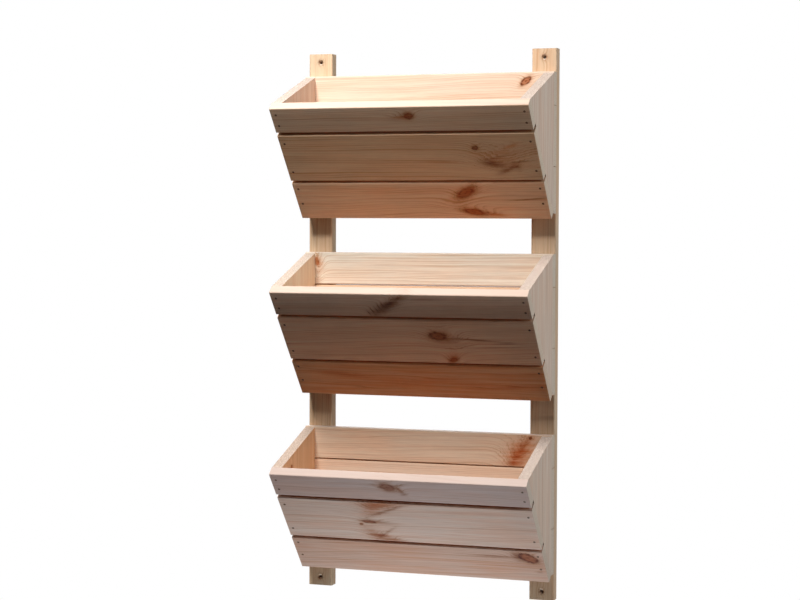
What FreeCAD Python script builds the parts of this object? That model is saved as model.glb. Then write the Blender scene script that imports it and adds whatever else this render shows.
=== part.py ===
"""Three-tier timber wall planter.

Two upright stiles carry three V-shaped troughs.  Each trough has three back boards screwed
to the stiles, two tapering side panels, and three front boards that lean outwards and are
nailed to the sloping edges of the side panels.  The gaps between the boards let water out.

Frame, in millimetres: +Z up, the wall is the plane Y = 0 and the planter stands out of it
towards -Y.  The origin is the centre of the pattern of four wall screws, on the wall.
"""
import FreeCAD
import Part
import Sketcher
import math
import os

from FreeCAD import Placement, Rotation, Vector

os.makedirs("parts", exist_ok=True)
doc = FreeCAD.newDocument("WallPlanter")

# ---------------------------------------------------------------------------------------
# Driving dimensions
# ---------------------------------------------------------------------------------------
DIMENSIONS = [
    ("stile_length", 956, "upright, from end to end"),
    ("stile_width", 44, "upright, across the wall"),
    ("stile_thickness", 22, "upright, out from the wall"),
    ("stile_edge_radius", 2.5, "planed arris of an upright"),
    ("wall_bore", 5, "hole for a wall screw, diameter"),
    ("wall_countersink", 10, "mouth of that hole, diameter"),
    ("wall_bore_end_inset", 15, "hole centre from the end of the upright"),
    ("board_length", 456, "every front and back board"),
    ("board_thickness", 18, "every front and back board"),
    ("board_edge_radius", 2, "planed arris of a board"),
    ("upper_width", 52, "upper front board"),
    ("middle_width", 100, "middle front board"),
    ("lower_width", 80, "lower front or back board"),
    ("upper_gap", 6, "drainage gap under an upper front board"),
    ("middle_gap", 5, "drainage gap under a middle front board"),
    ("back_joint", 1, "back boards from each other"),
    ("side_thickness", 18, "side panel"),
    ("front_lean", 40, "front boards from the vertical, degrees"),
    ("rim_slope", 19, "top edge of a side panel from the horizontal, degrees"),
    ("rim_overhang", 1, "upper front board past the side panel's front corner"),
    ("side_drop", 2, "side panel's top corner below the back boards' top"),
    ("seat_clearance", 0.2, "lowest front corner to the back boards"),
    ("tip_flat", 3, "blunt bottom end of a side panel"),
    ("top_box_drop", 41, "top of the highest back boards below the stile ends"),
    ("box_pitch", 312.5, "one trough to the next"),
    ("nail_shank", 2.4, "nail, diameter"),
    ("nail_head", 4.2, "nail head, diameter"),
    ("nail_head_height", 1.4, "nail head, along the nail"),
    ("nail_point", 4, "tapering end of a nail"),
    ("front_nail_length", 40, "through a front board into a side panel"),
    ("back_nail_length", 35, "through a back board into a side panel"),
    ("nail_end_inset", 9, "nail from the end of its board"),
    ("front_upper_nail_high", 14, "nail below the board's upper edge"),
    ("front_upper_nail_low", 15, "nail above the board's lower edge"),
    ("front_middle_nail_high", 18, "nail below the board's upper edge"),
    ("front_middle_nail_low", 20, "nail above the board's lower edge"),
    ("front_lower_nail_high", 13, "nail below the board's upper edge"),
    ("front_lower_nail_low", 34, "nail above the board's lower edge"),
    ("back_upper_nail_high", 15, "nail below the board's upper edge"),
    ("back_upper_nail_low", 15, "nail above the board's lower edge"),
    ("back_middle_nail_high", 20, "nail below the board's upper edge"),
    ("back_middle_nail_low", 20, "nail above the board's lower edge"),
    ("back_lower_nail_high", 16, "nail below the board's upper edge"),
    ("back_lower_nail_low", 48, "nail above the board's lower edge"),
    ("screw_shank", 4, "box screw, diameter"),
    ("screw_head", 8, "box screw's countersunk head, diameter"),
    ("screw_length", 35, "box screw, through an upright into a back board"),
    ("screw_point", 6, "tapering end of a box screw"),
    ("screw_recess_span", 4.4, "cross recess in the head, tip to tip"),
    ("screw_recess_slot", 0.9, "cross recess, slot width"),
    ("screw_recess_depth", 1.6, "cross recess, depth"),
    ("drive_clearance", 0.05, "fastener to the wood around it, on the radius"),
]

sheet = doc.addObject("Spreadsheet::Sheet", "Dims")
for row, (alias, value, note) in enumerate(DIMENSIONS, start=1):
    sheet.set(f"A{row}", note)
    sheet.set(f"B{row}", str(value))
    sheet.setAlias(f"B{row}", alias)
doc.recompute()
dims = {alias: float(sheet.get(alias)) for alias, value, note in DIMENSIONS}

# Sizes that follow from the ones above, written for the expressions of the model.
# The board stack is measured down the sloping front, from the rim to the lowest corner.
STACK = "(Dims.upper_width + Dims.upper_gap + Dims.middle_width + Dims.middle_gap + Dims.lower_width)"
BACK_FACE = "(Dims.stile_thickness + Dims.board_thickness)"
SLOPE = f"({STACK} - Dims.rim_overhang)"
PANEL_DEPTH = f"({SLOPE} * sin(Dims.front_lean) + Dims.seat_clearance)"
PANEL_RISE = f"({PANEL_DEPTH} * tan(Dims.rim_slope))"
PANEL_FRONT = f"(({PANEL_DEPTH} - Dims.tip_flat) / tan(Dims.front_lean))"
PANEL_HEIGHT = f"({PANEL_FRONT} + {PANEL_RISE})"
CORNER_TO_TIP = "((Dims.tip_flat - Dims.seat_clearance) / sin(Dims.front_lean))"

TIERS = {"top": 0, "middle": 1, "bottom": 2}
BOARDS = ("upper", "middle", "lower")
ENDS = ("left", "right")


def box_top(tier):
    """Height of the top of a trough's back boards."""
    return f"(Dims.stile_length / 2 - Dims.top_box_drop - {TIERS[tier]} * Dims.box_pitch)"


def board_width(side, board):
    """Width of a board; back boards close up to a narrow joint where front boards gape."""
    if side == "front" or board == "lower":
        return f"Dims.{board}_width"
    return f"(Dims.{board}_width + Dims.{board}_gap - Dims.back_joint)"


def boards_below(side, board):
    """Distance from a board's lower edge to the lower edge of the stack."""
    middle_gap = {"front": "Dims.middle_gap", "back": "Dims.back_joint"}[side]
    upper_gap = {"front": "Dims.upper_gap", "back": "Dims.back_joint"}[side]
    below_middle = f"(Dims.lower_width + {middle_gap})"
    below = {
        "upper": f"({below_middle} + {board_width(side, 'middle')} + {upper_gap})",
        "middle": below_middle,
        "lower": "(0)",
    }
    return below[board]


def nail_heights(side, board):
    """Heights of a board's two nails above its lower edge."""
    low = f"(Dims.{side}_{board}_nail_low)"
    high = f"({board_width(side, board)} - Dims.{side}_{board}_nail_high)"
    return [low, high]


# ---------------------------------------------------------------------------------------
# Sketch and feature helpers
# ---------------------------------------------------------------------------------------
def origin_plane(body, role):
    """One of the body's own base planes."""
    return next(plane for plane in body.Origin.OriginFeatures if plane.Role == role)


def add_sketch(body, role, name):
    """A sketch lying on one of the body's base planes."""
    sketch = body.newObject("Sketcher::SketchObject", name)
    sketch.AttachmentSupport = (origin_plane(body, role), "")
    sketch.MapMode = "FlatFace"
    return sketch


def locate(sketch, geometry, point, across, up):
    """Hold a sketch point at a place measured from the sketch's origin."""
    for kind, size in (("DistanceX", across), ("DistanceY", up)):
        if size is None:
            on_axis = "Vertical" if kind == "DistanceX" else "Horizontal"
            sketch.addConstraint(Sketcher.Constraint(on_axis, geometry, point, -1, 1))
            continue
        index = sketch.addConstraint(Sketcher.Constraint(kind, -1, 1, geometry, point, 1.0))
        sketch.setExpression(f"Constraints[{index}]", size)


def add_polygon(sketch, corners):
    """Closed outline; each corner is a pair of expressions, None meaning on the axis."""
    count = len(corners)
    guess = [Vector(10 * math.cos(6.2832 * i / count), 10 * math.sin(6.2832 * i / count), 0)
             for i in range(count)]
    for i in range(count):
        sketch.addGeometry(Part.LineSegment(guess[i], guess[(i + 1) % count]))
    for i in range(count):
        sketch.addConstraint(Sketcher.Constraint("Coincident", i, 2, (i + 1) % count, 1))
    for i, (across, up) in enumerate(corners):
        locate(sketch, i, 1, across, up)


def add_circles(sketch, centres, diameter):
    """Circles of one diameter; each centre is a pair of expressions."""
    for i, (across, up) in enumerate(centres):
        sketch.addGeometry(Part.Circle(Vector(10 * i + 10, 10, 0), Vector(0, 0, 1), 1))
        index = sketch.addConstraint(Sketcher.Constraint("Diameter", i, 2.0))
        sketch.setExpression(f"Constraints[{index}]", diameter)
        locate(sketch, i, 3, across, up)


def new_body(label):
    """A body whose label is the name of the finished piece."""
    body = doc.addObject("PartDesign::Body", label)
    body.Label = label
    return body


def place(body, x, y, z):
    """Bind the body's position to the sheet."""
    body.setExpression("Placement.Base.x", x)
    body.setExpression("Placement.Base.y", y)
    body.setExpression("Placement.Base.z", z)


def add_bar(body, role, width, depth, length):
    """Rectangular bar with one corner of its section at the body's origin."""
    section = add_sketch(body, role, "Section")
    add_polygon(section, [(None, None), (width, None), (width, depth), (None, depth)])
    bar = body.newObject("PartDesign::Pad", "Bar")
    bar.Profile = section
    bar.setExpression("Length", length)
    doc.recompute()
    return bar


def round_long_edges(body, bar, direction, radius):
    """Planed arris along every edge that runs in the given direction."""
    names = [f"Edge{number}" for number, edge in enumerate(bar.Shape.Edges, start=1)
             if abs(edge.tangentAt(edge.FirstParameter).dot(direction)) > 0.999]
    rounding = body.newObject("PartDesign::Fillet", "Arris")
    rounding.Base = (bar, names)
    rounding.setExpression("Radius", radius)
    doc.recompute()


def add_holes(body, centres, diameter, head=None, length=None, behind=None):
    """Round holes drilled along Y, from the face Y = 0 or from the opposite face.

    head is (kind, diameter, depth) of the recess at the mouth, length the hole's depth
    (None goes right through) and behind the bar's depth when drilled from its far face.
    """
    before = body.Shape.Volume
    sketch = add_sketch(body, "XZ_Plane", "Drilling")
    add_circles(sketch, centres, diameter)
    if behind:
        sketch.setExpression("AttachmentOffset.Base.z", f"-({behind})")
    doc.recompute()
    hole = body.newObject("PartDesign::Hole", "Holes")
    hole.Profile = sketch
    hole.ThreadType = "None"
    hole.setExpression("Diameter", diameter)
    hole.DrillPoint = "Flat"
    hole.Reversed = bool(behind)
    if length:
        hole.DepthType = "Dimension"
        hole.setExpression("Depth", length)
    else:
        hole.DepthType = "ThroughAll"
    if head:
        kind, mouth, deep = head
        hole.HoleCutType = kind
        hole.HoleCutCustomValues = True
        hole.setExpression("HoleCutDiameter", mouth)
        if kind == "Counterbore":
            hole.setExpression("HoleCutDepth", deep)
        else:
            hole.HoleCutCountersinkAngle = 90
    doc.recompute()
    if body.Shape.Volume >= before:
        raise RuntimeError(f"{body.Label}: the holes cut nothing")


# ---------------------------------------------------------------------------------------
# Uprights
# ---------------------------------------------------------------------------------------
NAIL_BORE = "(Dims.nail_shank + 2 * Dims.drive_clearance)"
NAIL_SEAT = "(Dims.nail_head + 2 * Dims.drive_clearance)"
NAIL_SEAT_DEPTH = "(Dims.nail_head_height + Dims.drive_clearance)"
SCREW_BORE = "(Dims.screw_shank + 2 * Dims.drive_clearance)"
SCREW_MOUTH = "(Dims.screw_head + 2 * Dims.drive_clearance)"
SCREW_LINE = "(Dims.stile_width / 2)"


def board_bottom(tier, board):
    """Height of the lower edge of a back board."""
    return f"({box_top(tier)} - {STACK} + {boards_below('back', board)})"


def screw_height(board):
    """Height of a back board's two screws above its lower edge."""
    return f"({board_width('back', board)} / 2)"


def make_stile(end):
    """Upright whose front face is its own plane Y = 0, drilled for wall and box screws."""
    body = new_body(f"stile_{end}")
    bar = add_bar(body, "XY_Plane", "Dims.stile_width", "Dims.stile_thickness", "Dims.stile_length")
    round_long_edges(body, bar, Vector(0, 0, 1), "Dims.stile_edge_radius")
    wall_holes = [
        (SCREW_LINE, "Dims.wall_bore_end_inset"),
        (SCREW_LINE, "Dims.stile_length - Dims.wall_bore_end_inset"),
    ]
    add_holes(body, wall_holes, "Dims.wall_bore", ("Countersink", "Dims.wall_countersink", None))
    box_holes = [
        (SCREW_LINE, f"{board_bottom(tier, board)} + {screw_height(board)} + Dims.stile_length / 2")
        for tier in TIERS for board in BOARDS
    ]
    add_holes(body, box_holes, SCREW_BORE, ("Countersink", SCREW_MOUTH, None),
              behind="Dims.stile_thickness")
    left_side = {"left": "-Dims.board_length / 2", "right": "Dims.board_length / 2 - Dims.stile_width"}
    place(body, left_side[end], "-Dims.stile_thickness", "-Dims.stile_length / 2")


# ---------------------------------------------------------------------------------------
# Boards and side panels of one trough
# ---------------------------------------------------------------------------------------
def make_board(label, side, board):
    """Board whose nailed face is its own plane Y = 0 and whose lower corner is its origin."""
    body = new_body(label)
    bar = add_bar(body, "YZ_Plane", "Dims.board_thickness", board_width(side, board), "Dims.board_length")
    round_long_edges(body, bar, Vector(1, 0, 0), "Dims.board_edge_radius")
    nail_lines = ["Dims.nail_end_inset", "Dims.board_length - Dims.nail_end_inset"]
    nails = [(across, up) for across in nail_lines for up in nail_heights(side, board)]
    add_holes(body, nails, NAIL_BORE, ("Counterbore", NAIL_SEAT, NAIL_SEAT_DEPTH))
    return body


def make_front_board(tier, board):
    """Board laid on the sloping edges of the side panels, leaning outwards at the top."""
    body = make_board(f"{tier}_front_board_{board}", "front", board)
    up_slope = boards_below("front", board)
    corner = f"({box_top(tier)} - Dims.side_drop - {PANEL_RISE} - {SLOPE} * cos(Dims.front_lean))"
    reach = f"({BACK_FACE} + Dims.seat_clearance + {up_slope} * sin(Dims.front_lean))"
    body.Placement = Placement(Vector(), Rotation(Vector(1, 0, 0), dims["front_lean"]))
    body.setExpression("Placement.Rotation.Angle", "Dims.front_lean * 1 deg")
    place(
        body,
        "-Dims.board_length / 2",
        f"-({reach} + Dims.board_thickness * cos(Dims.front_lean))",
        f"{corner} + {up_slope} * cos(Dims.front_lean) - Dims.board_thickness * sin(Dims.front_lean)",
    )


def make_back_board(tier, board):
    """Board turned round, with its nailed face against the uprights."""
    body = make_board(f"{tier}_back_board_{board}", "back", board)
    pilots = [
        (across, screw_height(board))
        for across in (SCREW_LINE, f"Dims.board_length - {SCREW_LINE}")
    ]
    add_holes(body, pilots, SCREW_BORE,
              length="Dims.screw_length - Dims.stile_thickness + Dims.drive_clearance")
    body.Placement = Placement(Vector(), Rotation(Vector(0, 0, 1), 180))
    place(body, "Dims.board_length / 2", "-Dims.stile_thickness", board_bottom(tier, board))


def make_side_panel(tier, end):
    """Tapering panel with upright grain; its lowest point and front corner bound its origin."""
    body = new_body(f"{tier}_side_panel_{end}")
    outline = add_sketch(body, "YZ_Plane", "Outline")
    add_polygon(outline, [
        (f"{PANEL_DEPTH} - Dims.tip_flat", None),
        (PANEL_DEPTH, None),
        (PANEL_DEPTH, PANEL_HEIGHT),
        (None, PANEL_FRONT),
    ])
    panel = body.newObject("PartDesign::Pad", "Panel")
    panel.Profile = outline
    panel.setExpression("Length", "Dims.side_thickness")
    doc.recompute()
    nail_line = {
        "left": "Dims.nail_end_inset",
        "right": "Dims.side_thickness - Dims.nail_end_inset",
    }[end]

    # Pilot holes in the sloping front edge, square to it.
    front = [
        (nail_line, f"{boards_below('front', board)} + {up} - {CORNER_TO_TIP}")
        for board in BOARDS for up in nail_heights("front", board)
    ]
    slope = add_sketch(body, "XZ_Plane", "FrontPilots")
    add_circles(slope, front, NAIL_BORE)
    slope.AttachmentOffset = Placement(Vector(), Rotation(Vector(1, 0, 0), dims["front_lean"]))
    slope.setExpression("AttachmentOffset.Base.z", f"-({PANEL_DEPTH} - Dims.tip_flat)")
    slope.setExpression("AttachmentOffset.Rotation.Angle", "Dims.front_lean * 1 deg")
    add_pocket(body, slope, "Dims.front_nail_length - Dims.board_thickness + Dims.drive_clearance", False)

    # Pilot holes in the upright back edge.
    stack_drop = f"({STACK} - Dims.side_drop - {PANEL_HEIGHT})"
    back = [
        (nail_line, f"{boards_below('back', board)} + {up} - {stack_drop}")
        for board in BOARDS for up in nail_heights("back", board)
    ]
    edge = add_sketch(body, "XZ_Plane", "BackPilots")
    add_circles(edge, back, NAIL_BORE)
    edge.setExpression("AttachmentOffset.Base.z", f"-{PANEL_DEPTH}")
    add_pocket(body, edge, "Dims.back_nail_length - Dims.board_thickness + Dims.drive_clearance", True)

    outer_face = {"left": "-Dims.board_length / 2", "right": "Dims.board_length / 2 - Dims.side_thickness"}
    place(body, outer_face[end], f"-({BACK_FACE} + {PANEL_DEPTH})",
          f"{box_top(tier)} - Dims.side_drop - {PANEL_HEIGHT}")


def add_pocket(body, sketch, length, reverse):
    """Blind pocket of the sketch's circles, which has to remove wood."""
    before = body.Shape.Volume
    doc.recompute()
    pocket = body.newObject("PartDesign::Pocket", "Pilots")
    pocket.Profile = sketch
    pocket.setExpression("Length", length)
    pocket.Reversed = reverse
    doc.recompute()
    if body.Shape.Volume >= before:
        raise RuntimeError(f"{body.Label}: the pilot holes cut nothing")


# ---------------------------------------------------------------------------------------
# Fasteners
# ---------------------------------------------------------------------------------------
def turned(profile):
    """Solid of revolution about Z from (radius, height) pairs."""
    points = [Vector(radius, 0, height) for radius, height in profile]
    face = Part.Face(Part.makePolygon(points + points[:1]))
    return face.revolve(Vector(0, 0, 0), Vector(0, 0, 1), 360)


def nail(length):
    """Flat-headed nail driven along +Z, its head's face at Z = 0."""
    head = dims["nail_head"] / 2
    shank = dims["nail_shank"] / 2
    return turned([
        (0, 0),
        (head, 0),
        (head, dims["nail_head_height"]),
        (shank, dims["nail_head_height"]),
        (shank, length - dims["nail_point"]),
        (0, length),
    ])


def box_screw():
    """Countersunk screw with a cross recess, driven along +Z, its head's face at Z = 0."""
    head = dims["screw_head"] / 2
    shank = dims["screw_shank"] / 2
    length = dims["screw_length"]
    body = turned([
        (0, 0),
        (head, 0),
        (shank, head - shank),
        (shank, length - dims["screw_point"]),
        (0, length),
    ])
    span = dims["screw_recess_span"]
    slot = dims["screw_recess_slot"]
    deep = dims["screw_recess_depth"]
    along = Part.makeBox(span, slot, deep, Vector(-span / 2, -slot / 2, 0))
    across = Part.makeBox(slot, span, deep, Vector(-slot / 2, -span / 2, 0))
    return body.cut(along.fuse(across))


def add_fasteners(label, pattern, places):
    """One node of identical fasteners; each place is (head's centre, driving direction)."""
    copies = []
    for centre, direction in places:
        copy = pattern.copy()
        copy.Placement = Placement(centre, Rotation(Vector(0, 0, 1), direction))
        copies.append(copy)
    group = doc.addObject("Part::Feature", label)
    group.Label = label
    group.Shape = Part.makeCompound(copies)
    group.Placement = Placement()


def body_points(label, local_points):
    """Points of a body's own frame, in the planter's frame."""
    frame = doc.getObject(label).Placement
    return [frame.multVec(point) for point in local_points]


def nail_places(tier, side):
    """Heads and directions of every nail through the front or back boards of a trough."""
    places = []
    for board in BOARDS:
        label = f"{tier}_{side}_board_{board}"
        heights = [float(sheet.evalExpression(height)) for height in nail_heights(side, board)]
        across = (dims["nail_end_inset"], dims["board_length"] - dims["nail_end_inset"])
        heads = [Vector(x, 0, z) for x in across for z in heights]
        direction = doc.getObject(label).Placement.Rotation.multVec(Vector(0, 1, 0))
        places += [(point, direction) for point in body_points(label, heads)]
    return places


def screw_places(tier):
    """Heads and directions of the screws through the uprights into the back boards."""
    places = []
    for board in BOARDS:
        label = f"{tier}_back_board_{board}"
        across = (dims["stile_width"] / 2, dims["board_length"] - dims["stile_width"] / 2)
        height = float(sheet.evalExpression(screw_height(board)))
        heads = [Vector(x, -dims["stile_thickness"], height) for x in across]
        places += [(point, Vector(0, -1, 0)) for point in body_points(label, heads)]
    return places


# ---------------------------------------------------------------------------------------
# Assembly
# ---------------------------------------------------------------------------------------
for end in ENDS:
    make_stile(end)
for tier in TIERS:
    for end in ENDS:
        make_side_panel(tier, end)
    for board in BOARDS:
        make_front_board(tier, board)
        make_back_board(tier, board)
doc.recompute()
for tier in TIERS:
    add_fasteners(f"{tier}_front_nails", nail(dims["front_nail_length"]), nail_places(tier, "front"))
    add_fasteners(f"{tier}_back_nails", nail(dims["back_nail_length"]), nail_places(tier, "back"))
    add_fasteners(f"{tier}_box_screws", box_screw(), screw_places(tier))
doc.recompute()

for item in doc.Objects:
    if "Invalid" in item.State or "Error" in item.State:
        raise RuntimeError(f"{item.Label} failed to build")

pieces = [item for item in doc.Objects if item.TypeId in ("PartDesign::Body", "Part::Feature")]
for piece in pieces:
    if piece.Shape.isNull() or not piece.Shape.isValid():
        raise RuntimeError(f"{piece.Label} has no valid shape")
for piece in pieces:
    piece.Shape.exportStep(f"parts/{piece.Label}.step")
print(f"{len(pieces)} pieces written")
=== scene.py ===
"""Looks of the three-tier timber wall planter: planed pine, nails, studio light and camera.

Metres, in the planter's own frame: +Z up, the wall is the plane Y = 0, the troughs face -Y.
Timber sizes inside the materials are in millimetres.  They are measured on each piece along
its grain from the middle, across it from a board's lower edge or one edge of a stile or a
panel, and in depth from the outer face.
"""
import math

import bpy
from mathutils import Matrix, Vector


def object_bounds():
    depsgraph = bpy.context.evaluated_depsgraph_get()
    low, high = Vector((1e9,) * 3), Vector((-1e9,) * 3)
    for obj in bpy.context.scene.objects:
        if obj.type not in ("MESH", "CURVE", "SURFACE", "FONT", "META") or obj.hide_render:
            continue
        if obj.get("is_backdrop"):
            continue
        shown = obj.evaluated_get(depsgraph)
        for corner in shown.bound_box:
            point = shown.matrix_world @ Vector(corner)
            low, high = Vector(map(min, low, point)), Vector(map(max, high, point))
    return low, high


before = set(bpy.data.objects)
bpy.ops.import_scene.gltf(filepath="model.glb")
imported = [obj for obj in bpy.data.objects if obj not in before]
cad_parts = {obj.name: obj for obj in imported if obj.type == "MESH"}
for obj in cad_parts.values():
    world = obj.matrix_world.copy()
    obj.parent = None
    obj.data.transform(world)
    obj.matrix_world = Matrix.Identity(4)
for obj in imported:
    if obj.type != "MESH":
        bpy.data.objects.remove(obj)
cad_low, cad_high = (corner.copy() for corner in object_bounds())
MM = 1000.0


def srgb(red, green, blue):
    """Linear colour from the 0 to 255 values that a picture shows."""
    channels = []
    for value in (red, green, blue):
        share = value / 255
        channels.append(share / 12.92 if share <= 0.04045 else ((share + 0.055) / 1.055) ** 2.4)
    return (*channels, 1.0)


# ---------------------------------------------------------------------------------------
# Node building
# ---------------------------------------------------------------------------------------
class Graph:
    """Short calls for the shader nodes used here; a socket or a number goes in anywhere."""

    def __init__(self, name):
        self.material = bpy.data.materials.new(name)
        self.material.use_nodes = True
        self.tree = self.material.node_tree
        self.tree.nodes.clear()

    def node(self, kind, **settings):
        made = self.tree.nodes.new(kind)
        for key, value in settings.items():
            setattr(made, key, value)
        return made

    def put(self, socket, value):
        if isinstance(value, bpy.types.NodeSocket):
            self.tree.links.new(value, socket)
        elif value is not None:
            socket.default_value = value

    def math(self, operation, first, second=None, third=None, clamp=False):
        made = self.node("ShaderNodeMath", operation=operation, use_clamp=clamp)
        for socket, value in zip(made.inputs, (first, second, third)):
            self.put(socket, value)
        return made.outputs[0]

    def add(self, first, second):
        return self.math("ADD", first, second)

    def subtract(self, first, second):
        return self.math("SUBTRACT", first, second)

    def times(self, first, second):
        return self.math("MULTIPLY", first, second)

    def line(self, value, slope, base):
        """value * slope + base"""
        return self.add(self.times(value, slope), base)

    def swing(self, value, size):
        """A noise of 0 to 1 turned into a swing of this size about zero."""
        return self.times(self.subtract(value, 0.5), size)

    def length(self, x, y):
        return self.math("SQRT", self.add(self.times(x, x), self.times(y, y)))

    def dot(self, vector, direction):
        made = self.node("ShaderNodeVectorMath", operation="DOT_PRODUCT")
        self.put(made.inputs[0], vector)
        made.inputs[1].default_value = direction
        return made.outputs["Value"]

    def vector(self, x, y, z):
        made = self.node("ShaderNodeCombineXYZ")
        for socket, value in zip(made.inputs, (x, y, z)):
            self.put(socket, value)
        return made.outputs[0]

    def noise(self, vector, detail=2.0, roughness=0.5, distortion=0.0):
        """Noise between 0 and 1; the vector sets the size of its features."""
        made = self.node("ShaderNodeTexNoise")
        self.put(made.inputs["Vector"], vector)
        made.inputs["Scale"].default_value = 1.0
        made.inputs["Detail"].default_value = detail
        made.inputs["Roughness"].default_value = roughness
        made.inputs["Distortion"].default_value = distortion
        return made.outputs["Fac"]

    def smooth(self, value, low, high):
        """0 below low, 1 above high, smooth between; low may be the larger one."""
        made = self.node("ShaderNodeMapRange", interpolation_type="SMOOTHSTEP")
        self.put(made.inputs["Value"], value)
        made.inputs["From Min"].default_value = low
        made.inputs["From Max"].default_value = high
        return made.outputs["Result"]

    def ramp(self, value, stops):
        made = self.node("ShaderNodeValToRGB")
        self.put(made.inputs[0], value)
        elements = made.color_ramp.elements
        while len(elements) < len(stops):
            elements.new(0.5)
        for element, (place, level) in zip(elements, stops):
            element.position = place
            element.color = (level, level, level, 1.0)
        return made.outputs["Color"]

    def mix(self, share, first, second, blend="MIX"):
        made = self.node("ShaderNodeMix", data_type="RGBA", blend_type=blend, clamp_factor=True)
        self.put(made.inputs["Factor"], share)
        self.put(made.inputs[6], first)
        self.put(made.inputs[7], second)
        return made.outputs[2]

    def finish(self, colour, roughness, height, depth, metallic=0.0, specular=0.5):
        """Principled surface with a bump of the given depth in metres."""
        bump = self.node("ShaderNodeBump")
        bump.inputs["Strength"].default_value = 1.0
        bump.inputs["Distance"].default_value = depth
        self.put(bump.inputs["Height"], height)
        surface = self.node("ShaderNodeBsdfPrincipled")
        self.put(surface.inputs["Base Color"], colour)
        self.put(surface.inputs["Roughness"], roughness)
        self.put(surface.inputs["Normal"], bump.outputs[0])
        surface.inputs["Metallic"].default_value = metallic
        surface.inputs["Specular IOR Level"].default_value = specular
        output = self.node("ShaderNodeOutputMaterial")
        self.tree.links.new(surface.outputs[0], output.inputs["Surface"])
        return self.material


# ---------------------------------------------------------------------------------------
# Pine
# ---------------------------------------------------------------------------------------
# Wood colours; knots, smears, painted gap shade and the heart are multipliers on the wood.
EARLYWOOD = srgb(238, 217, 196)
LATEWOOD = srgb(209, 172, 141)
HEART_TINT = srgb(244, 218, 200)
KNOT_BROWN = (0.60, 0.42, 0.35, 1.0)
KNOT_RED = (0.68, 0.40, 0.25, 1.0)
KNOT_RIM = (0.30, 0.16, 0.10, 1.0)
KNOT_HALO = srgb(224, 184, 146)
# Painted shade in the gaps between boards, darker deeper below the face.
PAINTED_GAP_SHADE = (0.50, 0.32, 0.21, 1.0)
RIM_PALE = srgb(211, 192, 179)
SMEAR_BROWN = (0.34, 0.21, 0.14, 1.0)
SMEAR_RED = (0.80, 0.46, 0.28, 1.0)
BOARD_ENDS = srgb(214, 196, 176), srgb(240, 228, 212)
PANEL_ENDS = srgb(172, 154, 142), srgb(228, 216, 206)

# Noise in the timber: length along the grain and width across it in millimetres, an offset
# that keeps the fields apart, detail and roughness; YEAR_NOISE and SPECK_NOISE give only the
# last two.  RIPPLE_SIZE is in millimetres and WOBBLE_SIZE in half sizes of a mark.
SWAY = (330, 80, 0.0, 2.0, 0.45)
RIPPLE = (70, 14, 5.0, 2.0, 0.5)
WOBBLE = (8, 5, 2.0, 3.0, 0.6)
FIBRE = (40, 1.0, 7.0, 3.0, 0.65)
STREAK = (210, 8, 9.0, 3.0, 0.55)
CLOUD = (150, 50, 11.0, 2.0, 0.5)
PATCH = (7, 5, 13.0, 2.0, 0.5)
YEAR_NOISE = (1.0, 0.5)
SPECK_NOISE = (3.0, 0.7)
RIPPLE_SIZE = 1.5
WOBBLE_SIZE = 0.6
FIBRE_SHADE = 0.46
CLOUD_SHADE = 0.26
HEART_STREAKS = 0.6
HEART_CLOUDS = 0.4

# The stretch of a noise over which its effect comes in.
BOLD_RANGE = (0.22, 0.72)
HEART_RANGE = (0.4, 0.64)
TORN_RANGE = (0.36, 0.62)
PATCHY_RANGE = (0.42, 0.62)
SPECK_RANGE = (0.42, 0.66)

# Growth rings: the late band within a year, and how years differ over millimetres of radius.
RING_STOPS = ((0.0, 0.12), (0.4, 0.2), (0.74, 0.7), (0.88, 1.0), (1.0, 0.12))
YEAR_DRIFT = 11
YEAR_SHIFT = 3.0
BOLD_DRIFT = 6
BOLD_LENGTH = 260

# Marks: distances are from their centre, 1 on their ellipse.  The last three pairs say how
# a noise sets a strength, as a slope and a base.
MARK_CONTRAST = 0.7
SMEAR_WIDTH = 0.85
HALO_FADE = (2.2, 0.95)
HALO_SHARE = 0.55
CORE_FADE = (1.25, 0.75)
KNOT_RINGS = 11.0
KNOT_RINGS_CUT = (0.2, 1.0)
KNOT_RINGS_FADE = (1.7, 0.9)
RIM_PLACE = 0.95
RIM_WIDTH = 0.22
RIM_SINK = 0.8
SMEAR_TORN = (0.7, 0.55)
KNOT_RINGS_PATCHY = (0.5, 0.15)
RIM_PATCHY = (0.7, 0.45)

# Edges and ends, in millimetres; the facings are cosines between which a side counts more
# and more as turned that way.  SANDING is a slope over the cloud noise and a base.
# The first two place the painted gap shade: the depth below the face over which it comes in, and
# the distances from the middle over which it fades out before the ends.
PAINTED_SHADE_DEPTH = (-1.0, -4.5)
PAINTED_SHADE_ENDS = (226, 220)
SANDING = (0.4, 0.5)
EDGE_FACING = (0.5, 0.8)
SAWN_FACING = (0.5, 0.75)
SAWN_SHARE = 0.8
SAWN_DEPTH = 1.2
SPECK_LENGTH = 3
SPECK_WIDTH = 1.6

# Surface: the bump's depth is in metres, LATE_SINK and FIBRE_RISE are shares of it.
WOOD_BUMP = 0.0002
LATE_SINK = -0.5
FIBRE_RISE = 0.5
WOOD_ROUGHNESS = 0.48
FIBRE_ROUGHNESS = 0.16
SAWN_ROUGHNESS = 0.18
WOOD_SPECULAR = 0.12


class Knot:
    """A knot: its centre along and up the piece, half length, half height, tilt in degrees.

    red turns it from brown to red and rim is the strength of its dark outline.  reach and
    bend say how far and how strongly it pushes the rings aside, strength how much it
    sharpens them.
    """

    reach = 2.2
    bend = 1.3
    strength = 1.0

    def __init__(self, along, up, length, height, tilt=0.0, red=0.5, rim=1.0):
        self.along, self.up = along, up
        self.length, self.height = length, height
        self.tilt, self.red, self.rim = tilt, red, rim


class Smear:
    """A soft dark streak, as resin or a branch cut lengthwise leaves."""

    reach = 1.3
    bend = 0.8

    def __init__(self, along, up, length, height, tilt=0.0, strength=0.5, red=0.7):
        self.along, self.up = along, up
        self.length, self.height = length, height
        self.tilt, self.strength, self.red = tilt, strength, red


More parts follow.
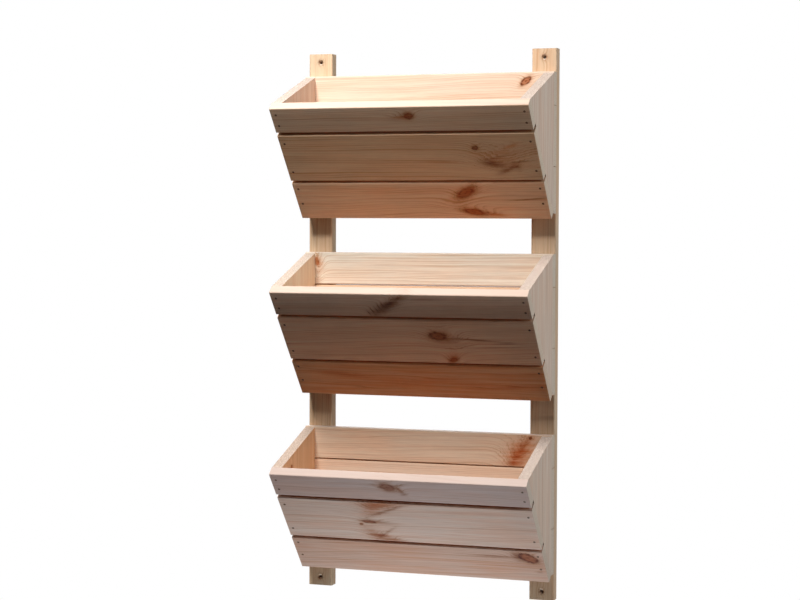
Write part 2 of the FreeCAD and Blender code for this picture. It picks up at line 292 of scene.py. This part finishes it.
class Grain:
    """How a piece of timber was cut from its log.

    pith is the log's centre in the piece's section (across, depth) in millimetres, spacing
    the width of a year's growth, lean the pith's drift across and in depth per millimetre
    of length.  A pith off to one side gives straight lines, one behind the face a figure.
    """

    def __init__(self, pith=(-140, -50), spacing=3.6, lean=(0.01, 0.02), contrast=0.8,
                 heart=0.4, tint=(1.0, 1.0, 1.0), sway=9.0, ends=BOARD_ENDS):
        self.pith = pith
        self.spacing = spacing
        self.lean = lean
        self.contrast = contrast
        self.heart = heart
        self.tint = tint
        self.sway = sway
        self.ends = ends


def blended(first, second, share):
    """Colour between two others, worked out here because it is the same all over."""
    return tuple(a + (b - a) * share for a, b in zip(first, second))


def mark_distance(g, along, up, mark, wobble):
    """Distance from a mark's centre, 1 on its ellipse."""
    turn = math.radians(mark.tilt)
    du = g.subtract(along, mark.along)
    dv = g.subtract(up, mark.up)
    x = g.add(g.times(du, math.cos(turn)), g.times(dv, math.sin(turn)))
    y = g.subtract(g.times(dv, math.cos(turn)), g.times(du, math.sin(turn)))
    return g.add(g.length(g.times(x, 1 / mark.length), g.times(y, 1 / mark.height)), wobble)


def bell(g, value, width):
    """A smooth hump, 1 at zero, of the given width."""
    share = g.times(value, 1 / width)
    return g.math("EXPONENT", g.times(g.times(share, share), -1))


def draw_smear(g, colour, distance, smear, torn):
    """The colour with a smear on it, darker where the fibres are torn."""
    share = g.times(bell(g, distance, SMEAR_WIDTH), smear.strength)
    share = g.times(share, g.line(torn, *SMEAR_TORN))
    return g.mix(share, colour, blended(SMEAR_BROWN, SMEAR_RED, smear.red), "MULTIPLY")


def draw_knot(g, colour, distance, knot, patchy):
    """The colour with a knot on it, and the share of its dark rings and rim."""
    halo = g.times(g.smooth(distance, *HALO_FADE), HALO_SHARE)
    colour = g.mix(halo, colour, KNOT_HALO, "MULTIPLY")
    core = g.smooth(distance, *CORE_FADE)
    colour = g.mix(core, colour, blended(KNOT_BROWN, KNOT_RED, knot.red), "MULTIPLY")
    rings = g.smooth(g.math("SINE", g.times(distance, KNOT_RINGS)), *KNOT_RINGS_CUT)
    fade = g.smooth(distance, *KNOT_RINGS_FADE)
    rings = g.times(rings, g.times(fade, g.line(patchy, *KNOT_RINGS_PATCHY)))
    outline = bell(g, g.subtract(distance, RIM_PLACE), RIM_WIDTH)
    rim = g.times(outline, g.line(patchy, *(share * knot.rim for share in RIM_PATCHY)))
    dark = g.math("MAXIMUM", rim, rings)
    return g.mix(dark, colour, KNOT_RIM, "MULTIPLY"), dark


def pine(name, axes, origin, grain, marks, seed, gap_sides=()):
    """Planed pine with growth rings that run right through the piece.

    axes are the unit vectors along the grain, across the face and out of the face; origin is
    the point of the frame from which the three distances are measured.  gap_sides says which
    long edges lie in a gap, -1 the lower and 1 the upper: shade is painted on them, darker
    in their depth, and an upper edge that lies open is sanded paler.
    """
    g = Graph(name)
    place = g.node("ShaderNodeTexCoord").outputs["Object"]
    along, across, depth = (
        g.subtract(g.dot(place, axis * MM), axis.dot(origin) * MM) for axis in axes
    )

    def field(length, width, shift, detail, roughness):
        """Noise with features this long and this wide, different on every piece."""
        space = g.vector(
            g.add(g.times(along, 1 / length), seed + shift),
            g.times(across, 1 / width),
            g.times(depth, 1 / width),
        )
        return g.noise(space, detail, roughness)

    # The log's own coordinates, with the slow wander of a tree's stem.
    sway = g.add(g.swing(field(*SWAY), grain.sway * 2), g.swing(field(*RIPPLE), RIPPLE_SIZE))
    x = g.subtract(across, g.line(along, grain.lean[0], grain.pith[0]))
    y = g.subtract(depth, g.line(along, grain.lean[1], grain.pith[1]))
    radius = g.add(g.length(x, y), sway)

    # The rings bend round knots and smears, and show more strongly there.
    wobble = g.swing(field(*WOBBLE), WOBBLE_SIZE)
    distances = [mark_distance(g, along, across, mark, wobble) for mark in marks]
    contrast = grain.contrast
    for mark, distance in zip(marks, distances):
        near = bell(g, distance, mark.reach)
        radius = g.add(radius, g.times(near, mark.bend * mark.height))
        contrast = g.add(contrast, g.times(near, MARK_CONTRAST * mark.strength))

    # Growth rings: light early wood, a narrow dark late band, uneven from year to year.
    years = g.noise(g.vector(g.times(radius, 1 / YEAR_DRIFT), seed, 0.0), *YEAR_NOISE)
    phase = g.add(g.times(radius, 1 / grain.spacing), g.times(years, YEAR_SHIFT))
    ring = g.ramp(g.math("FRACT", phase), RING_STOPS)
    bold_space = g.vector(g.times(radius, 1 / BOLD_DRIFT), g.times(along, 1 / BOLD_LENGTH), seed)
    bold = g.smooth(g.noise(bold_space, *YEAR_NOISE), *BOLD_RANGE)
    late = g.times(ring, g.times(bold, contrast))

    # Fibres and slow drifts of colour along the grain.
    fibre, streak, cloud = field(*FIBRE), field(*STREAK), field(*CLOUD)
    colour = g.mix(late, EARLYWOOD, LATEWOOD)
    heart = g.add(g.times(streak, HEART_STREAKS), g.times(cloud, HEART_CLOUDS))
    heart = g.smooth(heart, *HEART_RANGE)
    colour = g.mix(g.times(heart, grain.heart), colour, HEART_TINT, "MULTIPLY")
    shade = g.add(g.swing(fibre, FIBRE_SHADE), g.add(g.swing(cloud, CLOUD_SHADE), 1.0))
    # grain.tint multiplies the wood: its own tone, and on the fitted pieces painted bounce light
    # too.
    tinted = g.vector(*(g.times(shade, share) for share in grain.tint))
    colour = g.mix(1.0, colour, tinted, "MULTIPLY")

    # Knots and smears in colour and height.
    height = g.add(g.times(late, LATE_SINK), g.times(fibre, FIBRE_RISE))
    torn = g.smooth(g.add(g.times(fibre, 0.5), g.times(streak, 0.5)), *TORN_RANGE)
    patchy = g.smooth(field(*PATCH), *PATCHY_RANGE)
    for mark, distance in zip(marks, distances):
        if isinstance(mark, Smear):
            colour = draw_smear(g, colour, distance, mark, torn)
        else:
            colour, dark = draw_knot(g, colour, distance, mark, patchy)
            height = g.subtract(height, g.times(dark, RIM_SINK))

    # Painted shade darkens edges in a gap below their arris; open upper edges are sanded paler.
    normal = g.node("ShaderNodeNewGeometry").outputs["True Normal"]
    inside = g.smooth(g.math("ABSOLUTE", along), *PAINTED_SHADE_ENDS)
    painted_shade_share = g.times(g.smooth(depth, *PAINTED_SHADE_DEPTH), inside)
    for side in gap_sides:
        edge = g.times(g.smooth(g.dot(normal, axes[1] * side), *EDGE_FACING), painted_shade_share)
        colour = g.mix(edge, colour, PAINTED_GAP_SHADE, "MULTIPLY")
    if gap_sides == UPPER_BOARD_GAPS:
        top = g.smooth(g.dot(normal, axes[1]), *EDGE_FACING)
        colour = g.mix(g.times(top, g.line(cloud, *SANDING)), colour, RIM_PALE)

    # Sawn ends are rougher and greyer, with pale specks.
    sawn = g.smooth(g.math("ABSOLUTE", g.dot(normal, axes[0])), *SAWN_FACING)
    speck_space = g.vector(
        g.times(along, 1 / SPECK_LENGTH),
        g.times(across, 1 / SPECK_WIDTH),
        g.times(depth, 1 / SPECK_WIDTH),
    )
    specks = g.noise(speck_space, *SPECK_NOISE)
    end = g.mix(g.smooth(specks, *SPECK_RANGE), *grain.ends)
    colour = g.mix(g.times(sawn, SAWN_SHARE), colour, end)
    height = g.add(height, g.times(g.times(specks, sawn), SAWN_DEPTH))
    roughness = g.line(sawn, SAWN_ROUGHNESS, WOOD_ROUGHNESS)
    roughness = g.add(g.times(fibre, FIBRE_ROUGHNESS), roughness)
    return g.finish(colour, roughness, height, WOOD_BUMP, specular=WOOD_SPECULAR)


# ---------------------------------------------------------------------------------------
# Which way each piece of timber lies
# ---------------------------------------------------------------------------------------
# A direction that rises by less than this share of its length counts as level.
LEVEL = 0.01


def widest_normal(piece):
    """Direction of the flat face with the largest area."""
    areas = {}
    for polygon in piece.data.polygons:
        key = tuple(round(part, 3) for part in polygon.normal)
        areas[key] = areas.get(key, 0.0) + polygon.area
    return Vector(max(areas, key=areas.get)).normalized()


def min_max(points, direction):
    spans = [point.dot(direction) for point in points]
    return min(spans), max(spans)


def lie_of(piece, along, outwards):
    """Axes of a piece (along its grain, across its face, out of its face) and its origin."""
    out = widest_normal(piece)
    if out.dot(outwards) < 0:
        out = -out
    across = along.cross(out)
    if across.z < -LEVEL or (abs(across.z) < LEVEL and across.x < 0):
        across = -across
    points = [vertex.co for vertex in piece.data.vertices]
    origin = (
        along * (sum(min_max(points, along)) / 2)
        + across * min_max(points, across)[0]
        + out * min_max(points, out)[1]
    )
    return (along, across, out), origin


# ---------------------------------------------------------------------------------------
# The grain, knots and smears of each piece
# ---------------------------------------------------------------------------------------
X_AXIS, Y_AXIS, Z_AXIS = Vector((1, 0, 0)), Vector((0, 1, 0)), Vector((0, 0, 1))
UPPER_BOARD_GAPS = (-1,)
LOWER_BOARD_GAPS = (-1, 1)

# The boards and panels that the view shows well have a cut and marks of their own.
# Their tints were fitted to the rendered light. Besides each piece's own tone, they paint warm
# bounce light onto shaded fronts and inner panel faces.
GRAINS = {
    "top_front_board_upper": Grain(pith=(-120, -60), spacing=3.4, contrast=1.0,
                                   tint=(0.97, 0.91, 0.83)),
    "top_front_board_middle": Grain(pith=(-80, -75), spacing=3.8, lean=(-0.04, 0.05), sway=7,
                                    contrast=1.3, tint=(1.05, 0.93, 0.76)),
    "top_front_board_lower": Grain(pith=(-90, -120), spacing=4.2, tint=(1.17, 1.02, 0.87),
                                   heart=0.6),
    "middle_front_board_upper": Grain(pith=(-110, -60), spacing=3.4, tint=(0.95, 0.88, 0.86)),
    "middle_front_board_middle": Grain(pith=(-70, -85), spacing=3.8, lean=(0.03, 0.04), sway=8,
                                       contrast=0.9, tint=(1.21, 1.06, 0.97)),
    "middle_front_board_lower": Grain(pith=(-80, -90), spacing=4.2, lean=(0.03, -0.05),
                                      heart=1.0, contrast=0.9, sway=16,
                                      tint=(1.09, 0.78, 0.55)),
    "bottom_front_board_upper": Grain(pith=(-130, -70), spacing=3.4, tint=(0.88, 0.85, 0.99)),
    "bottom_front_board_middle": Grain(pith=(-160, -80), spacing=3.8, heart=0.6,
                                       tint=(1.04, 1.0, 1.08)),
    "bottom_front_board_lower": Grain(pith=(-70, -80), spacing=4.2, lean=(0.02, 0.05),
                                      heart=0.8, tint=(0.89, 0.78, 0.80)),
    "top_back_board_upper": Grain(pith=(-90, -60), spacing=4.0),
    "middle_back_board_upper": Grain(pith=(-90, -40), spacing=4.6, lean=(0.01, 0.0), sway=5,
                                     contrast=1.2, tint=(1.0, 1.16, 1.25)),
    "middle_back_board_middle": Grain(pith=(-90, -60), spacing=3.8, tint=(1.0, 0.92, 0.80)),
    "bottom_back_board_upper": Grain(pith=(-100, -80), spacing=4.2, tint=(1.0, 0.99, 0.95),
                                     heart=0.5),
    "bottom_back_board_middle": Grain(pith=(-90, -60), spacing=3.8, tint=(1.07, 1.06, 1.04)),
    "middle_side_panel_left": Grain(pith=(-120, -60), spacing=4.4, tint=(1.05, 1.10, 1.02),
                                    ends=PANEL_ENDS),
    "bottom_side_panel_left": Grain(pith=(-120, -40), spacing=5.0, tint=(0.94, 0.75, 0.54),
                                    ends=PANEL_ENDS),
}
MARKS = {
    "top_front_board_upper": (
        Knot(18, 32, 8, 6, 10, red=0.8, rim=0.4),
        Smear(6, 30, 24, 7, 5, 0.7),
    ),
    "top_front_board_middle": (
        Knot(121, 70, 5, 4, 0, red=0.0),
        Smear(146, 36, 24, 9, -14, 1.0, red=0.2),
        Smear(168, 22, 17, 5, 24, 1.0, red=0.3),
        Smear(166, 46, 40, 22, 8, 0.35, red=0.9),
        Smear(158, 50, 24, 3, 14, 0.6, red=0.3),
        Smear(186, 30, 10, 8, -40, 0.7, red=0.5),
        Smear(182, 72, 22, 4.5, 24, 0.6, red=1.0),
        Smear(194, 40, 20, 2.2, 6, 0.7, red=0.2),
        Smear(60, 40, 40, 2.5, -2, 0.4, red=0.8),
    ),
    "top_front_board_lower": (
        Knot(86, 58, 20, 9, 32, red=0.9, rim=0.25),
        Smear(97, 64, 15, 8, 30, 0.6, red=0.8),
        Knot(94, 16, 20, 6.5, -12, red=0.9, rim=0.2),
        Smear(128, 11, 30, 6, -12, 0.8, red=0.9),
        Smear(200, 44, 36, 1.8, 5, 0.8, red=0.3),
    ),
    "middle_front_board_upper": (
        Smear(-12, 31, 36, 10, 34, 1.0, red=0.2),
        Smear(-16, 30, 24, 6, 34, 0.8, red=0.0),
        Smear(-34, 16, 24, 10, 30, 0.8, red=0.2),
        Smear(40, 41, 44, 3, 2, 0.5, red=0.2),
        *(Smear(-56 + 7 * stroke, 9 + 4.5 * stroke, 7, 1.3, -62, 0.9, red=0.1)
          for stroke in range(5)),
    ),
    "middle_front_board_middle": (
        Knot(56, 64, 15, 9, -6, red=0.3, rim=0.8),
        Smear(72, 60, 24, 15, -14, 0.5, red=0.6),
        Smear(120, 57, 42, 2.6, -4, 0.8, red=0.3),
        Smear(150, 40, 60, 1.8, 3, 0.6, red=0.3),
        Smear(176, 50, 24, 2.4, 2, 0.6, red=0.3),
        Knot(74, 9, 8, 5, 30, red=0.9, rim=0.2),
        Smear(72, 16, 18, 10, 40, 0.5, red=0.9),
    ),
    "middle_front_board_lower": (
        Smear(40, 44, 80, 7, 3, 0.55, red=1.0),
        Smear(-130, 50, 50, 6, -6, 0.5, red=1.0),
        Smear(-90, 20, 60, 4, 3, 0.4, red=1.0),
        Smear(160, 30, 60, 4, 5, 0.45, red=1.0),
    ),
    "bottom_front_board_upper": (
        Knot(-17, 34, 14, 8, -14, red=0.0, rim=0.4),
        Smear(4, 27, 13, 4.4, -58, 0.9, red=0.4),
        Smear(10, 18, 8, 3, 20, 0.7, red=0.4),
        Smear(-42, 40, 9, 2.4, -10, 0.6, red=0.3),
        Smear(4, 40, 13, 2.2, 10, 0.6, red=0.3),
    ),
    "bottom_front_board_middle": (
        Smear(-44, 94, 38, 14, 4, 1.0, red=0.8),
        Smear(-58, 82, 22, 14, 28, 0.8, red=0.9),
        Smear(-31, 80, 38, 4, 25, 1.0, red=0.3),
        Knot(-71, 49, 12, 3.4, -4, red=0.0, rim=0.9),
        Smear(-56, 51, 32, 6, -8, 0.7, red=0.3),
        Smear(-64, 16, 24, 13, -30, 0.9, red=0.6),
        Smear(-44, 22, 24, 3, 40, 0.8, red=0.4),
        Smear(-42, 8, 34, 8, -14, 0.9, red=0.6),
        Knot(-86, 42, 3, 2.4, 0, red=0.5, rim=0.4),
    ),
    "bottom_front_board_lower": (
        Knot(201, 62, 17, 9.5, -28, red=0.8, rim=1.3),
        Smear(182, 66, 15, 9, -60, 0.9, red=0.2),
        Smear(145, 62, 50, 4, 1, 0.9, red=0.4),
        Smear(216, 26, 7, 3.5, 0, 0.4, red=0.2),
    ),
    "top_back_board_upper": (
        Knot(178, 41, 10, 5, 35, red=0.4),
        Smear(196, 35, 18, 5, 30, 0.6),
    ),
    "middle_back_board_upper": (
        Knot(-206, 41, 4, 8, 10, red=1.0, rim=0.1),
        Smear(-200, 39, 8, 14, 10, 0.6, red=1.0),
        Smear(-204, 15, 6, 14, 0, 0.5, red=0.6),
    ),
    "bottom_back_board_upper": (
        Smear(166, 20, 24, 17, 50, 1.0, red=1.0),
        Smear(174, 26, 36, 24, 50, 0.9, red=1.0),
        Smear(160, 10, 14, 6, 60, 0.8, red=0.9),
        Smear(178, 36, 22, 8, 50, 0.6, red=0.9),
        Knot(190, 51, 2.5, 2.1, 0, red=0.8),
    ),
    "bottom_side_panel_left": (
        Knot(60, 110, 3, 3, 0),
    ),
}
# The others take their cut from their place in the list of names.
PITHS_ACROSS = [-95 - 19 * step for step in range(4)]
PITHS_DEEP = [-40 - 13 * step for step in range(5)]
SPACINGS = [3.3 + 0.4 * step for step in range(4)]
SEED_START = 1.3
SEED_STEP = 3.7
PANEL_TINT = (0.95, 0.96, 1.0)
PANEL_CONTRAST = 1.1
STILE_TINTS = {"stile_left": (0.88, 0.83, 0.71), "stile_right": (0.84, 0.765, 0.65)}
STILE_PITH_SHIFT = 60

# Painted shade in the stiles' wall bores, with a soft brown stain round each mouth on the face.
BORE_ALONG = 463
BORE_ACROSS = 22
BORE_PAINTED_SHADE = [
    Smear(end, BORE_ACROSS, 6, 6, strength=1.0, red=0.0) for end in (-BORE_ALONG, BORE_ALONG)
]

for number, (name, piece) in enumerate(sorted(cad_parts.items())):
    pith = PITHS_ACROSS[number % len(PITHS_ACROSS)], PITHS_DEEP[number % len(PITHS_DEEP)]
    spacing = SPACINGS[number % len(SPACINGS)]
    marks = MARKS.get(name, ())
    gap_sides = ()
    if "board" in name:
        axes, origin = lie_of(piece, X_AXIS, Y_AXIS if "back" in name else -Y_AXIS)
        cut = Grain(pith=pith, spacing=spacing)
        gap_sides = UPPER_BOARD_GAPS if name.endswith("upper") else LOWER_BOARD_GAPS
    elif "panel" in name:
        axes, origin = lie_of(piece, Z_AXIS, -X_AXIS if name.endswith("left") else X_AXIS)
        cut = Grain(pith=pith, spacing=spacing, contrast=PANEL_CONTRAST, tint=PANEL_TINT,
                    ends=PANEL_ENDS)
    elif "stile" in name:
        axes, origin = lie_of(piece, Z_AXIS, -Y_AXIS)
        cut = Grain(pith=(pith[0] + STILE_PITH_SHIFT, pith[1]), spacing=spacing,
                    tint=STILE_TINTS[name])
        marks = BORE_PAINTED_SHADE
    else:
        continue
    seed = SEED_STEP * number + SEED_START
    material = pine(f"pine_{name}", axes, origin, GRAINS.get(name, cut), marks, seed, gap_sides)
    for slot in piece.material_slots:
        slot.material = material


# ---------------------------------------------------------------------------------------
# Nails and screws
# ---------------------------------------------------------------------------------------
STEEL_BUMP = 0.00005
STEEL_SPECULAR = 0.15
STEEL_ROUGHNESS = (0.25, 0.38)
RUST_RANGE = (0.55, 0.7)
RUST_SHARE = 0.6


def steel(name, bright, dull, rust, metallic):
    """Wire steel: dull, with a mottled film and specks of rust, in features of a millimetre."""
    g = Graph(name)
    grown = g.node("ShaderNodeVectorMath", operation="SCALE")
    g.put(grown.inputs[0], g.node("ShaderNodeTexCoord").outputs["Object"])
    grown.inputs["Scale"].default_value = MM
    film = g.noise(grown.outputs[0], detail=3.0, roughness=0.6)
    rusty = g.noise(grown.outputs[0], detail=5.0, roughness=0.8, distortion=0.6)
    specks = g.smooth(rusty, *RUST_RANGE)
    colour = g.mix(film, bright, dull)
    colour = g.mix(g.times(specks, RUST_SHARE), colour, rust)
    roughness = g.line(film, *STEEL_ROUGHNESS)
    return g.finish(colour, roughness, film, STEEL_BUMP, metallic, STEEL_SPECULAR)


nail_steel = steel("nail_steel", bright=srgb(132, 98, 74), dull=srgb(86, 62, 46),
                   rust=srgb(128, 76, 46), metallic=0.0)
zinc_steel = steel("zinc_steel", bright=srgb(206, 200, 176), dull=srgb(150, 142, 118),
                   rust=srgb(120, 104, 76), metallic=0.8)
for name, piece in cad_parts.items():
    if "nails" in name or "screws" in name:
        for slot in piece.material_slots:
            slot.material = nail_steel if "nails" in name else zinc_steel


# ---------------------------------------------------------------------------------------
# Floor, background and light
# ---------------------------------------------------------------------------------------
# The floor lies below the hanging planter.  It shows a pale ground with the shadow near the
# middle and plain white beyond SHADOW_REACH, and throws little light back.
FLOOR_DROP = 0.55
FLOOR_HALF = 12.0
SHADOW_REACH = (1.6, 2.6)
FLOOR_PALE = 0.8
FLOOR_MOTTLE = 0.02
FLOOR_LIFT = 0.3
FLOOR_BOUNCE = (0.08, 0.08, 0.08, 1.0)
AMBIENT_COLOUR = (0.88, 0.93, 1.0, 1.0)
AMBIENT = 0.024
WHITE = (1.0, 1.0, 1.0, 1.0)


def white_seen(nodes, links):
    """1 for the rays that show the background: straight ones, mirrored and transmitted."""
    path = nodes.new("ShaderNodeLightPath")
    seen = path.outputs["Is Camera Ray"]
    for kind in ("Is Glossy Ray", "Is Transmission Ray"):
        either = nodes.new("ShaderNodeMath")
        either.operation = "MAXIMUM"
        links.new(seen, either.inputs[0])
        links.new(path.outputs[kind], either.inputs[1])
        seen = either.outputs[0]
    return seen


def paint_world():
    """Very dim surroundings, which the camera and mirrors see as white."""
    world = bpy.data.worlds.new("studio")
    bpy.context.scene.world = world
    world.use_nodes = True
    nodes, links = world.node_tree.nodes, world.node_tree.links
    nodes.clear()
    ambient = nodes.new("ShaderNodeBackground")
    ambient.inputs["Color"].default_value = AMBIENT_COLOUR
    ambient.inputs["Strength"].default_value = AMBIENT
    white = nodes.new("ShaderNodeBackground")
    white.inputs["Color"].default_value = WHITE
    mixer = nodes.new("ShaderNodeMixShader")
    links.new(white_seen(nodes, links), mixer.inputs[0])
    links.new(ambient.outputs[0], mixer.inputs[1])
    links.new(white.outputs[0], mixer.inputs[2])
    output = nodes.new("ShaderNodeOutputWorld")
    links.new(mixer.outputs[0], output.inputs[0])


def floor_material():
    """White to the eye with the planter's shadow on it, dark to the light it would bounce."""
    g = Graph("floor_white")
    place = g.node("ShaderNodeTexCoord").outputs["Object"]
    flat = g.node("ShaderNodeVectorMath", operation="MULTIPLY")
    g.put(flat.inputs[0], place)
    flat.inputs[1].default_value = (1.0, 1.0, 0.0)
    distance = g.node("ShaderNodeVectorMath", operation="LENGTH")
    g.put(distance.inputs[0], flat.outputs[0])
    far = g.smooth(distance.outputs["Value"], *SHADOW_REACH)
    ground = g.add(g.swing(g.noise(place, 2.0, 0.5), FLOOR_MOTTLE), FLOOR_PALE)
    pale = g.node("ShaderNodeBsdfDiffuse")
    g.put(pale.inputs["Color"], g.vector(ground, ground, ground))
    lift = g.node("ShaderNodeEmission")
    lift.inputs["Strength"].default_value = FLOOR_LIFT
    near = g.node("ShaderNodeAddShader")
    g.put(near.inputs[0], pale.outputs[0])
    g.put(near.inputs[1], lift.outputs[0])
    white = g.node("ShaderNodeEmission")
    eye = g.node("ShaderNodeMixShader")
    g.put(eye.inputs[0], far)
    g.put(eye.inputs[1], near.outputs[0])
    g.put(eye.inputs[2], white.outputs[0])
    dark = g.node("ShaderNodeBsdfDiffuse")
    dark.inputs["Color"].default_value = FLOOR_BOUNCE
    either = g.node("ShaderNodeMixShader")
    g.put(either.inputs[0], white_seen(g.tree.nodes, g.tree.links))
    g.put(either.inputs[1], dark.outputs[0])
    g.put(either.inputs[2], eye.outputs[0])
    output = g.node("ShaderNodeOutputMaterial")
    g.put(output.inputs["Surface"], either.outputs[0])
    return g.material


def lay_floor():
    """A square floor below the planter."""
    level = cad_low.z - FLOOR_DROP
    signs = ((-1, -1), (1, -1), (1, 1), (-1, 1))
    corners = [(FLOOR_HALF * x, FLOOR_HALF * y, level) for x, y in signs]
    mesh = bpy.data.meshes.new("floor")
    mesh.from_pydata(corners, [], [(0, 1, 2, 3)])
    mesh.materials.append(floor_material())
    floor = bpy.data.objects.new("floor", mesh)
    bpy.context.collection.objects.link(floor)
    floor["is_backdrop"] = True


def add_lamp(name, place, aim, size, watts, colour, spread=180):
    """Area light of a width and a height, unseen by the camera; spread in degrees."""
    data = bpy.data.lights.new(name, "AREA")
    data.shape = "RECTANGLE"
    data.size, data.size_y = size
    data.energy = watts
    data.color = colour
    data.spread = math.radians(spread)
    lamp = bpy.data.objects.new(name, data)
    bpy.context.collection.objects.link(lamp)
    lamp.location = place
    lamp.rotation_euler = (aim - place).to_track_quat("-Z", "Y").to_euler()
    lamp.visible_camera = False


paint_world()
lay_floor()
centre = (cad_low + cad_high) / 2
add_lamp("key", place=Vector((-0.36, -1.09, 1.45)), aim=Vector((0.0, -0.1, -0.45)),
         size=(0.4, 0.6), watts=22.5, colour=(1.0, 0.985, 0.97), spread=130)
add_lamp("side_fill", place=centre + Vector((2.7, -0.3, 0.7)), aim=centre,
         size=(1.6, 1.6), watts=35, colour=(0.94, 0.975, 1.0))
add_lamp("floor_fill", place=Vector((0.0, -0.20, -0.95)), aim=Vector((0.0, -0.13, -0.345)),
         size=(0.5, 0.12), watts=2.3, colour=(0.93, 0.965, 1.0))
add_lamp("back_fill", place=centre + Vector((-1.6, 2.6, 0.9)), aim=centre,
         size=(1.8, 1.8), watts=45, colour=(0.97, 0.98, 1.0))


# ---------------------------------------------------------------------------------------
# Camera
# ---------------------------------------------------------------------------------------
CAMERA_PLACE = Vector((1.0326, -3.2301, 0.1850))
CAMERA_YAW = 18.73
CAMERA_PITCH = 2.443
CAMERA_ROLL = 0.158
LENS = 86.05
SENSOR_WIDTH = 36.0
SIGHT = 60.0

camera_data = bpy.data.cameras.new("camera")
camera_data.sensor_width = SENSOR_WIDTH
camera_data.lens = LENS
camera_data.clip_end = SIGHT
camera = bpy.data.objects.new("camera", camera_data)
bpy.context.collection.objects.link(camera)
camera.location = CAMERA_PLACE
turn = (
    Matrix.Rotation(math.radians(CAMERA_YAW), 4, "Z")
    @ Matrix.Rotation(math.radians(90 - CAMERA_PITCH), 4, "X")
    @ Matrix.Rotation(math.radians(CAMERA_ROLL), 4, "Z")
)
camera.rotation_euler = turn.to_euler()
bpy.context.scene.camera = camera
bpy.context.scene.view_settings.view_transform = "Standard"
